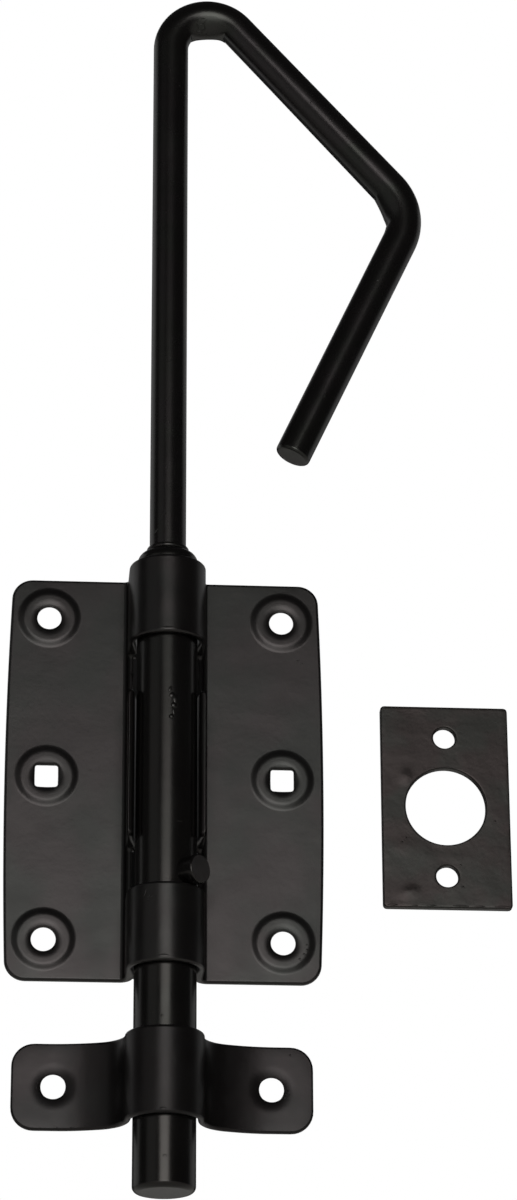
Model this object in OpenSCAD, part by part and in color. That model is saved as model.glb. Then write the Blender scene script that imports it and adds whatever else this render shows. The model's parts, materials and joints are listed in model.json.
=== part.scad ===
// Slide bolt with a bow handle: a pressed back plate carries a round bar in two loops.
// A strap keep and a flat strike plate belong to the set.
// +Z is up, +X is to the right, and -Y points away from the door, towards the user.
// The origin is the middle of the screw pattern on the back plate's back face.

/* [Bar] */
// Diameter of the round bolt bar
bolt_d = 19; // [17:0.5:20]
// Length of the bolt bar from end to end
bolt_len = 204; // [195:1:215]
// Height of the bar's top end above the plate's top edge when the bolt is thrown
bolt_stand = 4.7; // [3:0.1:8]
// Radius rolled round the bar's top end
bolt_top_r = 2; // [1:0.1:2.5]
// Radius rolled round the bar's bottom end
bolt_end_r = 1.9; // [1:0.1:3]
// Distance from the door face to the bar's axis
axis_h = 14.2; // [13.5:0.1:16]

/* [Stop pin] */
// Diameter of the stop pin
pin_d = 9; // [8:0.1:9.4]
// How far the stop pin stands out of the bar
pin_out = 5; // [3.5:0.1:6]
// Angle of the stop pin from straight forward, towards the handle's side
pin_angle = 45; // [42:1:46]
// Chamfer on the stop pin's outer end
pin_chamfer = 0.5; // [0.2:0.1:1]

/* [Bow handle] */
// Diameter of the handle's rod
handle_d = 11.5; // [10:0.5:12]
// Height from the bar's top to the corner where the stem and the arm would meet
stem_rise = 216.4; // [200:0.1:240]
// Angle between the stem and the sloping arm
arm_angle = 41.1; // [38:0.1:45]
// Length of the sloping arm from corner to corner
arm_len = 122.4; // [110:0.1:130]
// Angle of the grip from the vertical
grip_angle = 24.6; // [20:0.1:30]
// Length of the grip from its corner to its end
grip_len = 98.4; // [80:0.1:110]
// Bend radius at the top of the handle, on the rod's centre line
top_bend_r = 12.5; // [12:0.5:15]
// Bend radius at the handle's outer corner, on the rod's centre line
side_bend_r = 18.7; // [15:0.1:22]
// Chamfer on the grip's cut end
grip_chamfer = 1.1; // [0.5:0.1:2]
// Length of the spigot that holds the handle in the bar
spigot_len = 18; // [10:1:30]
// Thickness of the weld bead round the handle's foot
bead_d = 1.8; // [1:0.1:2.5]

/* [Back plate] */
// Thickness of the pressed sheet
sheet_t = 2; // [1.8:0.1:2.2]
// Width of the plate across the middle, where it is widest
plate_w = 99.5; // [96:0.5:110]
// Height of the plate
plate_h = 131.5; // [128:0.5:140]
// How much each long side bows out between the corners
side_bow = 1.4; // [0.5:0.1:3]
// Radius of the plate's corners
plate_corner_r = 6.2; // [3:0.1:9]
// Radius of the bend where the flat sheet turns up into the channel
foot_r = 1.5; // [1:0.1:2]
// Height of the top loop
top_loop_h = 26; // [24:0.5:28]
// Height of the bottom loop
bottom_loop_h = 24.8; // [23:0.1:28]
// Length of the side walls between the two notches
wall_len = 48; // [40:1:52]
// Height of the notch floor above the door face
notch_floor = 5; // [4.5:0.1:6]
// Radius of the walls' top corners
wall_corner_r = 2; // [1:0.1:2.5]
// Radius of the inner corners of the notches
notch_r = 1.5; // [1:0.1:1.5]

/* [Fixing holes] */
// Diameter of every screw hole
screw_d = 7; // [5.5:0.1:7.2]
// Distance between the plate's screw holes, side to side
plate_hole_x = 73.5; // [70:0.5:76]
// Distance between the plate's top and bottom rows of screw holes
plate_hole_z = 105.5; // [100:0.5:110]
// Width of the square holes for coach bolts
square_w = 6.8; // [6:0.1:7]
// Corner radius of the square holes
square_r = 0.8; // [0.4:0.1:1.2]
// Outer diameter of the pressed ring round each hole in the plate
ring_d = 20.6; // [18:0.1:21]
// Height of the pressed ring above the sheet
ring_h = 0.6; // [0.3:0.1:1]
// Depth of the dish at the hole, below the ring's crest
ring_dish = 0.6; // [0.3:0.1:0.8]
// Diameter of the countersink round each hole in the keep
keep_sink_d = 11.4; // [9:0.1:12]
// Depth of the countersink round each hole in the keep
keep_sink = 0.8; // [0.4:0.1:1.2]

/* [Keep] */
// Width of the keep across both ears
keep_w = 91.4; // [88:0.1:100]
// Height of the keep's strap
keep_h = 26.8; // [24:0.1:30]
// Radius of the corners of the ears
keep_corner_r = 7; // [3:0.1:9]
// Radius of the sweep from each ear into the loop
keep_foot_r = 11; // [6:0.1:11.4]
// Distance between the keep's two holes
keep_hole_x = 66; // [64:0.5:68]
// Gap between the plate's bottom edge and the keep's top edge
keep_gap = 19.6; // [15:0.1:30]

/* [Strike plate] */
// Width of the strike plate
strike_w = 40.2; // [36:0.1:46]
// Height of the strike plate
strike_h = 66; // [60:0.5:76]
// Thickness of the strike plate
strike_t = 3; // [2:0.5:4]
// Corner radius of the strike plate
strike_corner_r = 1.2; // [0.5:0.1:3]
// Diameter of the hole that takes the bar
strike_bore_d = 25.2; // [22:0.1:27]
// Distance between the strike plate's two screw holes
strike_hole_z = 45.5; // [42:0.5:48]
// Place of the strike plate's middle to the right of the bar
strike_x = 87.9; // [80:0.5:110]
// Place of the strike plate's middle below the screw pattern's middle
strike_drop = 7.8; // [-20:0.1:20]

/* [Clearances] */
// Gap between the bar and the loops all round
loop_gap = 0.5; // [0.3:0.1:0.8]
// Gap between the stop pin and the rim that it rests on
rest_gap = 0.05; // [0.02:0.01:0.1]
// Gap between the stop pin and the top of the wall that it slides past
wall_gap = 0.3; // [0.2:0.1:0.5]
// Radial gap between the handle's spigot and its bore
spigot_gap = 0.05; // [0.03:0.01:0.1]
// Gap between the bar and the pieces that sit on it
seat_gap = 0.05; // [0.03:0.01:0.1]

/* [Hidden] */
$fn = 64;

paint_sheet = [0.17, 0.165, 0.165];
paint_bar = [0.10, 0.095, 0.095];

// The cuts run this far past the faces that they open
cut = 1;
// Solids of one piece run this far into each other where they join
bite = 0.2;
// The rod runs this far on into its bends, where it is thicker by the swell
lap = 0.4;
swell = 0.02;

bolt_r = bolt_d / 2;
handle_r = handle_d / 2;
pin_r = pin_d / 2;

// The loops wrap the bar, and the channel's legs stand as far apart as the loops
loop_in = bolt_r + loop_gap;
loop_out = loop_in + sheet_t;
leg_mid = loop_in + sheet_t / 2;
foot_x = loop_out + foot_r;

plate_top = plate_h / 2;
plate_bottom = -plate_h / 2;
window_top = plate_top - top_loop_h;
window_bottom = plate_bottom + bottom_loop_h;
edge_r = sheet_t / 2;

// The walls end just below the path of the stop pin at its rest angle
wall_round = (leg_mid * cos(pin_angle) - pin_r - wall_gap - edge_r) / sin(pin_angle);
wall_top = axis_h + wall_round + edge_r;

bolt_top = plate_top + bolt_stand;
bolt_bottom = bolt_top - bolt_len;
pin_z = window_bottom + rest_gap + pin_r;
pin_tip = bolt_r + pin_out;

keep_top = plate_bottom - keep_gap;
keep_mid = keep_top - keep_h / 2;
keep_foot_x = loop_out + keep_foot_r;

// Side arc through the plate's widest point and its virtual corners
bow_r = (pow(plate_top, 2) + pow(side_bow, 2)) / (2 * side_bow);

// Height of a pressed ring at radius r: it climbs from its foot at r_out to a broad crest, and
// close to the hole it dishes down again, at most to the level of the sheet
ring_flank = 2.8;
ring_roll = 2;
function ring_rise(r, r_in, r_out) =
  ring_h * pow(sin(90 * min(1, (r_out - r) / ring_flank)), 2)
  - min(ring_dish, ring_h) * pow(1 - min(1, (r - r_in) / ring_roll), 2);

// Ring of the sheet's section between two radii and two angles
module sector(r_in, r_out, from, to) {
  intersection() {
    difference() {
      circle(r = r_out);
      circle(r = r_in);
    }
    polygon([
      [0, 0],
      2 * r_out * [cos(from), sin(from)],
      2 * r_out * [cos((from + to) / 2), sin((from + to) / 2)],
      2 * r_out * [cos(to), sin(to)]
    ]);
  }
}

// Bend from the flat sheet into a leg, with the leg's lower part, on the right side
module foot_section(bend_r, leg_to) {
  translate([loop_out + bend_r, -sheet_t - bend_r])
    sector(bend_r, bend_r + sheet_t, 90, 180);
  translate([loop_in, -leg_to])
    square([sheet_t, leg_to - sheet_t - bend_r]);
}

module both_sides() {
  children();
  mirror([1, 0, 0]) children();
}

// Section of a loop with its two legs, seen from above
module loop_section(bend_r) {
  both_sides() foot_section(bend_r, axis_h);
  translate([0, -axis_h]) sector(loop_in, loop_out, 180, 360);
}

// Section of a side wall with a full round top edge
module wall_section() {
  both_sides() {
    foot_section(foot_r, axis_h + wall_round);
    translate([leg_mid, -axis_h - wall_round]) circle(r = edge_r);
  }
}

// Concave fillet of radius r in the corner at the origin, above and to its right
module corner_fillet(r) {
  difference() {
    translate([-bite, -bite]) square(r + bite);
    translate([r, r]) circle(r = r);
  }
}

// Side view of the window's walls: x is the distance from the door and y the height
module wall_side() {
  half = wall_len / 2;
  square_top = wall_top - wall_corner_r;
  translate([0, window_bottom - bite])
    square([notch_floor, window_top - window_bottom + 2 * bite]);
  translate([0, -half]) square([square_top, wall_len]);
  translate([0, -half + wall_corner_r]) square([wall_top, wall_len - 2 * wall_corner_r]);
  for (side = [-1, 1]) {
    translate([square_top, side * (half - wall_corner_r)]) circle(r = wall_corner_r);
  }
  translate([notch_floor, half]) corner_fillet(notch_r);
  translate([notch_floor, -half]) mirror([0, 1]) corner_fillet(notch_r);
  translate([notch_floor, window_top]) mirror([0, 1]) corner_fillet(notch_r);
  translate([notch_floor, window_bottom]) corner_fillet(notch_r);
}

// Walls of the window: the channel's section, cut to the side view
module window_walls() {
  intersection() {
    translate([0, 0, window_bottom])
      linear_extrude(window_top - window_bottom) wall_section();
    rotate([90, 0, -90])
      linear_extrude(2 * (foot_x + cut), center = true) wall_side();
  }
}

// Flat outline with one radius at all four corners
module rounded_rect(w, h, r) {
  square([w, h - 2 * r], center = true);
  square([w - 2 * r, h], center = true);
  for (x = [-1, 1], y = [-1, 1]) {
    translate([x * (w / 2 - r), y * (h / 2 - r)]) circle(r = r);
  }
}

// Outline of the back plate, with bowed sides and round corners
module plate_outline() {
  bow_x = plate_w / 2 - bow_r;
  corner_y = plate_top - plate_corner_r;
  corner_x = bow_x + sqrt(pow(bow_r - plate_corner_r, 2) - pow(corner_y, 2));
  lean = atan2(corner_y, corner_x - bow_x);
  far = 3 * plate_corner_r;
  difference() {
    intersection() {
      square([plate_w + cut, plate_h], center = true);
      translate([bow_x, 0]) circle(r = bow_r, $fn = 1440);
      translate([-bow_x, 0]) circle(r = bow_r, $fn = 1440);
    }
    for (x = [0, 1], y = [0, 1]) {
      mirror([x, 0]) mirror([0, y]) translate([corner_x, corner_y])
        polygon([[0, 0], far * [cos(lean), sin(lean)], [far, far], [0, far]]);
    }
  }
  for (x = [-1, 1], y = [-1, 1]) {
    translate([x * corner_x, y * corner_y]) circle(r = plate_corner_r);
  }
}

// Stands a flat shape on the door face and gives it the sheet's thickness
module upright(thick) {
  rotate([90, 0, 0]) linear_extrude(thick) children();
}

// Pressed ring: the sheet rises to a broad crest and dishes down again to the hole
module pressed_ring(r_in, r_out) {
  steps = 17;
  rim = [for (i = [0:steps]) let (r = r_in + (r_out - r_in) * i / steps)
    [r, ring_rise(r, r_in, r_out)]];
  level = ring_rise(r_in, r_in, r_out);
  rotate([90, 0, 0]) rotate_extrude()
    polygon(concat(
      [[0, level]],
      rim,
      [for (i = [steps:-1:0]) rim[i] + [0, sheet_t]],
      [[0, level + sheet_t]]
    ));
}

// Straight cut through the sheet and its rings
module through(thick) {
  translate([0, cut, 0]) rotate([90, 0, 0]) linear_extrude(thick + 2 * cut) children();
}

// Puts a shape at each of the plate's holes; a second shape goes to the square ones
module plate_holes() {
  for (x = [-1, 1], z = [-1, 0, 1]) {
    translate([x * plate_hole_x / 2, 0, z * plate_hole_z / 2])
      children(z == 0 ? $children - 1 : 0);
  }
}

module back_plate() {
  color(paint_sheet) difference() {
    union() {
      difference() {
        upright(sheet_t) difference() {
          plate_outline();
          square([2 * foot_x, plate_h + cut], center = true);
        }
        plate_holes() through(sheet_t) circle(d = ring_d);
      }
      plate_holes() pressed_ring(screw_d / 2, ring_d / 2);
      translate([0, 0, plate_bottom]) linear_extrude(bottom_loop_h) loop_section(foot_r);
      translate([0, 0, window_top]) linear_extrude(top_loop_h) loop_section(foot_r);
      window_walls();
    }
    plate_holes() {
      through(sheet_t + ring_h) circle(d = screw_d);
      through(sheet_t + ring_h) rounded_rect(square_w, square_w, square_r);
    }
  }
}

module bolt() {
  color(paint_bar) translate([0, -axis_h, bolt_bottom]) difference() {
    rotate_extrude() {
      translate([0, bolt_end_r]) square([bolt_r, bolt_len - bolt_end_r - bolt_top_r]);
      square([bolt_r - bolt_end_r, bolt_len / 2]);
      translate([0, bolt_len / 2]) square([bolt_r - bolt_top_r, bolt_len / 2]);
      translate([bolt_r - bolt_end_r, bolt_end_r]) circle(r = bolt_end_r);
      translate([bolt_r - bolt_top_r, bolt_len - bolt_top_r]) circle(r = bolt_top_r);
    }
    translate([0, 0, bolt_len - spigot_len - seat_gap])
      cylinder(r = handle_r + spigot_gap, h = spigot_len + seat_gap + cut);
  }
}

// Straight length of rod, running on into the bends before and after it;
// what follows starts at its end
module rod(len, before = lap, after = lap) {
  translate([0, 0, -before]) cylinder(r = handle_r, h = before + len + after);
  translate([0, 0, len]) children();
}

// Bend of the rod towards +X; what follows starts at its end
module bend(bend_r, turn) {
  translate([bend_r, 0, 0]) rotate([90, 0, 0]) rotate([0, 0, 180 - turn])
    rotate_extrude(angle = turn) translate([bend_r, 0]) circle(r = handle_r + swell);
  translate([bend_r * (1 - cos(turn)), 0, bend_r * sin(turn)]) rotate([0, turn, 0]) children();
}

module handle() {
  top_turn = 180 - arm_angle;
  side_turn = arm_angle + grip_angle;
  top_cut = top_bend_r * tan(top_turn / 2);
  side_cut = side_bend_r * tan(side_turn / 2);
  color(paint_bar) translate([0, -axis_h, bolt_top]) {
    translate([0, 0, -spigot_len])
      rod(spigot_len + stem_rise - top_cut, before = 0) bend(top_bend_r, top_turn)
      rod(arm_len - top_cut - side_cut) bend(side_bend_r, side_turn)
      rod(grip_len - side_cut - grip_chamfer, after = 0)
      cylinder(r1 = handle_r, r2 = handle_r - grip_chamfer, h = grip_chamfer);
    translate([0, 0, seat_gap + bead_d / 2])
      rotate_extrude() translate([handle_r, 0]) circle(d = bead_d);
  }
}

module stop_pin() {
  color(paint_bar) difference() {
    translate([0, -axis_h, pin_z]) rotate([0, 0, pin_angle - 90]) rotate([0, 90, 0]) {
      cylinder(r = pin_r, h = pin_tip - pin_chamfer);
      translate([0, 0, pin_tip - pin_chamfer])
        cylinder(r1 = pin_r, r2 = pin_r - pin_chamfer, h = pin_chamfer);
    }
    translate([0, -axis_h, pin_z - pin_d])
      cylinder(r = bolt_r + seat_gap, h = 2 * pin_d);
  }
}

module keep_holes() {
  both_sides() translate([keep_hole_x / 2, 0, 0]) children();
}

module keep() {
  color(paint_sheet) translate([0, 0, keep_mid]) difference() {
    union() {
      upright(sheet_t) difference() {
        rounded_rect(keep_w, keep_h, keep_corner_r);
        square([2 * keep_foot_x, keep_h + cut], center = true);
      }
      linear_extrude(keep_h, center = true) loop_section(keep_foot_r);
    }
    keep_holes() {
      through(sheet_t) circle(d = screw_d);
      rotate([90, 0, 0]) translate([0, 0, sheet_t - keep_sink]) {
        cylinder(d1 = screw_d, d2 = keep_sink_d, h = keep_sink);
        translate([0, 0, keep_sink]) cylinder(d = keep_sink_d, h = cut);
      }
    }
  }
}

module strike_plate() {
  color(paint_sheet) translate([strike_x, 0, -strike_drop]) upright(strike_t) difference() {
    rounded_rect(strike_w, strike_h, strike_corner_r);
    circle(d = strike_bore_d);
    for (side = [-1, 1]) {
      translate([0, side * strike_hole_z / 2]) circle(d = screw_d);
    }
  }
}

back_plate();
bolt();
handle();
stop_pin();
keep();
strike_plate();
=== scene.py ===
import json
import math

import bmesh
import bpy
from mathutils import Matrix, Quaternion, Vector, noise

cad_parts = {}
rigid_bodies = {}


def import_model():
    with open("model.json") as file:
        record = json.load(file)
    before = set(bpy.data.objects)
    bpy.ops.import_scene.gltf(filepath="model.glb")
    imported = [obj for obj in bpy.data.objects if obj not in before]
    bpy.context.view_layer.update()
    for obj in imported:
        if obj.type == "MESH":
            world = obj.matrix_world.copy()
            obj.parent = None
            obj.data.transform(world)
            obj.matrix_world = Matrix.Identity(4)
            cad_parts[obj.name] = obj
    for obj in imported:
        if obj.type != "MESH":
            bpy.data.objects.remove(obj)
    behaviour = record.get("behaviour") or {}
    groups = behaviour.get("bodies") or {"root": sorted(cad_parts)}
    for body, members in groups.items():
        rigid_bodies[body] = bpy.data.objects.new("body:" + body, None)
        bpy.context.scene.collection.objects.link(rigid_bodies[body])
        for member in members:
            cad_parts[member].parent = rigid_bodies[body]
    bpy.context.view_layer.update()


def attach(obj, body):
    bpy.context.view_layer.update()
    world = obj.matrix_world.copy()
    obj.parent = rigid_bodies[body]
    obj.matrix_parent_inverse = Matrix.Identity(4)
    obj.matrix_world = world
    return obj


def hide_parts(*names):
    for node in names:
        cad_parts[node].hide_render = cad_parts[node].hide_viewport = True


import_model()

print("frame loaded")

# Pieces are modelled in millimetres and brought down to metres at the end of each one.
# x is to the right, z is up along the bar, and -y points at the user.
perMetre = 1000  # millimetres in a metre
slack = 0.02  # a point this close to a place counts as being there
mergeGap = 0.005  # points closer than this become one


def selectOnly(piece):
    bpy.ops.object.select_all(action="DESELECT")
    piece.select_set(True)
    bpy.context.view_layer.objects.active = piece


def openMesh(piece):
    selectOnly(piece)
    bpy.ops.object.mode_set(mode="EDIT")
    bpy.ops.mesh.select_mode(type="VERT")


def closeMesh():
    bpy.ops.object.mode_set(mode="OBJECT")


def pick(test, kind="VERT"):
    # selects the points, or the edges or faces with all their points, where test is true
    bpy.ops.mesh.select_mode(type=kind)
    bpy.ops.mesh.select_all(action="DESELECT")
    piece = bpy.context.edit_object
    work = bmesh.from_edit_mesh(piece.data)
    if kind == "VERT":
        for point in work.verts:
            point.select = test(point.co)
    else:
        for part in (work.edges if kind == "EDGE" else work.faces):
            part.select = all(test(point.co) for point in part.verts)
    work.select_flush_mode()
    bmesh.update_edit_mesh(piece.data)


def near(value, target, within=slack):
    return abs(value - target) < within


def reshape(piece, move):
    # moves points in code: move gets a point and returns its new place, or None to leave it
    work = bmesh.new()
    work.from_mesh(piece.data)
    for point in work.verts:
        place = move(point.co)
        if place is not None:
            point.co = place
    work.to_mesh(piece.data)
    work.free()
    piece.data.update()


def takeNew(name):
    # names what was just added, and puts its place and turn into its mesh
    piece = bpy.context.object
    piece.name = piece.data.name = name
    bpy.ops.object.transform_apply(location=True, rotation=True, scale=True)
    return piece


def pieceFrom(work, name):
    # a new piece from mesh code
    piece = bpy.data.objects.new(name, bpy.data.meshes.new(name))
    work.to_mesh(piece.data)
    work.free()
    bpy.context.collection.objects.link(piece)
    return piece


def addPlane(center, size, rotation, name=None):
    # a flat rectangle of the given size: with a name it is a new piece, without one it joins the open mesh
    bpy.ops.mesh.primitive_plane_add(size=1.0, location=center, rotation=rotation)
    if name:
        openMesh(takeNew(name))
        bpy.ops.mesh.select_all(action="SELECT")
    bpy.ops.transform.resize(value=size, center_override=center)


def extrudeEdges(move):
    bpy.ops.mesh.extrude_edges_move(TRANSFORM_OT_translate={"value": move})


def extrudeFaces(move):
    bpy.ops.mesh.extrude_region_move(TRANSFORM_OT_translate={"value": move})


def addModifier(piece, kind, **settings):
    modifier = piece.modifiers.new(kind.title(), kind)
    for key, value in settings.items():
        setattr(modifier, key, value)
    selectOnly(piece)
    bpy.ops.object.modifier_apply(modifier=modifier.name)


def mendMesh():
    # closes the seams of the open mesh and turns its faces one way
    bpy.ops.mesh.select_all(action="SELECT")
    bpy.ops.mesh.remove_doubles(threshold=mergeGap)
    bpy.ops.mesh.normals_make_consistent(inside=False)
    closeMesh()


def faceOutwards(piece):
    # an open sheet can come out either way round, so its largest flat face is made to face the user
    openMesh(piece)
    mendMesh()
    front = Vector((0, -1, 0))
    flat = max(piece.data.polygons, key=lambda face: face.area * abs(face.normal.dot(front)))
    if flat.normal.dot(front) < 0:
        openMesh(piece)
        bpy.ops.mesh.select_all(action="SELECT")
        bpy.ops.mesh.flip_normals()
        closeMesh()


def settle(piece, smoothAngle=40):
    # millimetres to metres, then smooth shading that leaves the flats flat
    selectOnly(piece)
    piece.scale = [1 / perMetre] * 3
    bpy.ops.object.transform_apply(location=True, rotation=True, scale=True)
    bpy.ops.object.shade_smooth_by_angle(angle=math.radians(smoothAngle))
    addModifier(piece, "WEIGHTED_NORMAL", keep_sharp=True, weight=80)


def putOn(piece, body, slotName, material, *nodes):
    piece.data.materials.clear()
    piece.data.materials.append(material)
    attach(piece, body)
    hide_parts(*nodes)


# Camera, from the holes and edges in the photograph: below the bolt, looking up at it
photoView = {
    "place": (-0.04966, -1.06159, -0.36951),
    "turn": (112.035, 0.211, -4.190),  # degrees
    "lens": 108.053,  # millimetres
    "film": 36.0,  # millimetres, along the picture's longer side
    "clipStart": 0.05,
}

bpy.ops.object.camera_add(
    location=photoView["place"], rotation=[math.radians(turn) for turn in photoView["turn"]])
camera = bpy.context.object
camera.name = "photoCamera"
camera.data.sensor_fit = "AUTO"
camera.data.sensor_width = photoView["film"]
camera.data.lens = photoView["lens"]
camera.data.clip_start = photoView["clipStart"]
bpy.context.scene.camera = camera
bpy.context.scene.view_settings.view_transform = "Standard"
print("camera placed")


def addNode(tree, kind, links=None, **settings):
    # a node with its settings, and its sockets given as values or as sockets to link from
    made = tree.nodes.new(kind)
    for key, value in settings.items():
        setattr(made, key, value)
    for socket, value in (links or {}).items():
        if isinstance(value, bpy.types.NodeSocket):
            tree.links.new(value, made.inputs[socket])
        else:
            made.inputs[socket].default_value = value
    return made


def hexColour(text):
    # sRGB hex to the linear values that Blender works in
    parts = [int(text[i:i + 2], 16) / 255 for i in (1, 3, 5)]
    return [c / 12.92 if c <= 0.04045 else ((c + 0.055) / 1.055) ** 2.4 for c in parts] + [1.0]


# Studio: soft lamps, a pale floor well below the bolt and a white world behind it
studio = {
    "worldGlow": 0.03,
    "floorDrop": 0.62,  # metres, as are the places and sizes of the lamps
    "floorSize": 6.0,
    "floorPaint": "#d8d6d2",
    "floorRoughness": 0.9,
}

# power is in watts and roll in degrees, and a lamp with gloss off isn't mirrored in the paint
softLamps = [
    {"name": "keyPanel", "place": (-0.10, -4.0, 0.40), "size": (2.2, 1.72), "power": 40.0, "roll": 4.0,
     "tint": (1.0, 0.965, 0.96)},
    {"name": "frontFill", "place": (0.3, -2.4, 1.2), "size": (1.6, 1.6), "power": 28.0, "gloss": False},
    {"name": "leftPanel", "place": (-1.9, -1.6, 0.2), "size": (1.6, 2.4), "power": 3.0},
    {"name": "leftRim", "place": (-2.0, 1.25, 0.6), "size": (1.6, 2.4), "power": 5.0},
    {"name": "rightRim", "place": (2.0, 1.25, 0.4), "size": (1.6, 2.4), "power": 3.6},
    {"name": "lowPanel", "place": (0.0, -1.9, -0.57), "size": (1.2, 2.4), "power": 12.0,
     "aim": (0.0, -1.2, 0.3)},
    {"name": "backCard", "place": (0.0, 2.6, 1.8), "size": (4.4, 1.5), "power": 5.0},
    {"name": "floorLamp", "place": (0.3, 1.8, 1.6), "size": (1.6, 1.6), "power": 27.0, "gloss": False},
]


def buildStudio():
    world = bpy.data.worlds.new("studioWorld")
    bpy.context.scene.world = world
    world.use_nodes = True
    tree = world.node_tree
    tree.nodes.clear()
    path = addNode(tree, "ShaderNodeLightPath")
    glow = addNode(tree, "ShaderNodeBackground", {"Color": (1, 1, 1, 1), "Strength": studio["worldGlow"]})
    white = addNode(tree, "ShaderNodeBackground", {"Color": (1, 1, 1, 1), "Strength": 1.0})
    mix = addNode(tree, "ShaderNodeMixShader", {
        0: path.outputs["Is Camera Ray"], 1: glow.outputs[0], 2: white.outputs[0]})
    addNode(tree, "ShaderNodeOutputWorld", {"Surface": mix.outputs[0]})

    bpy.ops.mesh.primitive_plane_add(size=studio["floorSize"], location=(0, 0, -studio["floorDrop"]))
    floor = bpy.context.object
    floor.name = "studioFloor"
    paper = bpy.data.materials.new("palePaper")
    paper.use_nodes = True
    shader = paper.node_tree.nodes["Principled BSDF"]
    shader.inputs["Base Color"].default_value = hexColour(studio["floorPaint"])
    shader.inputs["Roughness"].default_value = studio["floorRoughness"]
    floor.data.materials.append(paper)

    for lamp in softLamps:
        bpy.ops.object.light_add(type="AREA", location=lamp["place"])
        made = bpy.context.object
        made.name = lamp["name"]
        made.data.shape = "RECTANGLE"
        made.data.size, made.data.size_y = lamp["size"]
        made.data.energy = lamp["power"]
        made.data.color = lamp.get("tint", (1.0, 1.0, 1.0))
        facing = (Vector(lamp.get("aim", (0, 0, 0))) - Vector(lamp["place"])).to_track_quat("-Z", "Y")
        made.rotation_euler = (facing @ Quaternion((0, 0, 1), math.radians(lamp.get("roll", 0)))).to_euler()
        made.visible_camera = False
        made.visible_glossy = lamp.get("gloss", True)


buildStudio()
print("studio lit")


# The noises in every paint: how detailed each is, and the part of its range that is used
paintNoise = {
    "cloudDetail": 4.0,
    "cloudRange": (0.3, 0.7),
    "peelDetail": 2.0,
    "waveDetail": 1.0,
    "patchDetail": 3.0,
    "patchRange": (0.42, 0.6),
}


def paintMaterial(name, look):
    # black paint on steel: an even black film whose gloss, and fine orange peel, catch the light.
    # Sizes and depths are in millimetres, and peel is drawn about as coarse as the picture can show it.
    n = paintNoise
    material = bpy.data.materials.new(name)
    material.use_nodes = True
    tree = material.node_tree
    shader = tree.nodes["Principled BSDF"]
    place = addNode(tree, "ShaderNodeTexCoord").outputs["Object"]
    cloud = addNode(tree, "ShaderNodeTexNoise", {
        "Vector": place, "Scale": perMetre / look["cloudSize"], "Detail": n["cloudDetail"]})
    rough = addNode(tree, "ShaderNodeMapRange", {
        "Value": cloud.outputs["Fac"], "From Min": n["cloudRange"][0], "From Max": n["cloudRange"][1],
        "To Min": look["roughness"] - look["roughSpread"], "To Max": look["roughness"] + look["roughSpread"]})
    tree.links.new(rough.outputs["Result"], shader.inputs["Roughness"])
    tint = addNode(tree, "ShaderNodeMix", {
        "Factor": cloud.outputs["Fac"], "A": hexColour(look["dark"]), "B": hexColour(look["light"])},
        data_type="RGBA")
    tree.links.new(tint.outputs["Result"], shader.inputs["Base Color"])
    peel = addNode(tree, "ShaderNodeTexNoise", {
        "Vector": place, "Scale": perMetre / look["peelSize"], "Detail": n["peelDetail"]})
    wave = addNode(tree, "ShaderNodeTexNoise", {
        "Vector": place, "Scale": perMetre / look["waveSize"], "Detail": n["waveDetail"]})
    swell = addNode(tree, "ShaderNodeBump", {
        "Height": wave.outputs["Fac"], "Strength": 1.0, "Distance": look["waveDepth"] / perMetre})
    bump = addNode(tree, "ShaderNodeBump", {
        "Height": peel.outputs["Fac"], "Strength": 1.0, "Distance": look["peelDepth"] / perMetre,
        "Normal": swell.outputs["Normal"]})
    tree.links.new(bump.outputs["Normal"], shader.inputs["Normal"])
    # the shine is faintly pink or warm in places, and greyer or greener in others
    patch = addNode(tree, "ShaderNodeTexNoise", {
        "Vector": place, "Scale": perMetre / look["patchSize"], "Detail": n["patchDetail"]})
    part = addNode(tree, "ShaderNodeMapRange", {
        "Value": patch.outputs["Fac"], "From Min": n["patchRange"][0], "From Max": n["patchRange"][1]})
    shine = addNode(tree, "ShaderNodeMix", {
        "Factor": part.outputs["Result"], "A": hexColour(look["shineA"]), "B": hexColour(look["shineB"])},
        data_type="RGBA")
    tree.links.new(shine.outputs["Result"], shader.inputs["Specular Tint"])
    shader.inputs["IOR"].default_value = look["ior"]
    return material


# an even satin coat on the pressed sheet: broad soft highlights, broken up by fine peel
sheetPaint = paintMaterial("satinBlackPowderCoat", {
    "dark": "#070606", "light": "#0c0b0b", "roughness": 0.32, "roughSpread": 0.04, "ior": 1.48,
    "cloudSize": 14.0, "peelSize": 1.5, "peelDepth": 0.018, "waveSize": 12.0, "waveDepth": 0.1,
    "patchSize": 26.0, "shineA": "#fff8f6", "shineB": "#f6faf4"})
# a thin smooth coat on the round bar: narrow clear lines of light along it
barPaint = paintMaterial("glossBlackEnamel", {
    "dark": "#060505", "light": "#0a0909", "roughness": 0.25, "roughSpread": 0.03, "ior": 1.46,
    "cloudSize": 20.0, "peelSize": 1.0, "peelDepth": 0.012, "waveSize": 9.0, "waveDepth": 0.04,
    "patchSize": 18.0, "shineA": "#fbf8f2", "shineB": "#f4f6ee"})
# it flowed out after dipping, so it hardly has peel, and has the strongest shine of the six
handlePaint = paintMaterial("dippedBlackEnamel", {
    "dark": "#060505", "light": "#0a0909", "roughness": 0.27, "roughSpread": 0.03, "ior": 1.52,
    "cloudSize": 20.0, "peelSize": 1.0, "peelDepth": 0.006, "waveSize": 9.0, "waveDepth": 0.04,
    "patchSize": 14.0, "shineA": "#fdf6f6", "shineB": "#f1f6ec"})
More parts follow.
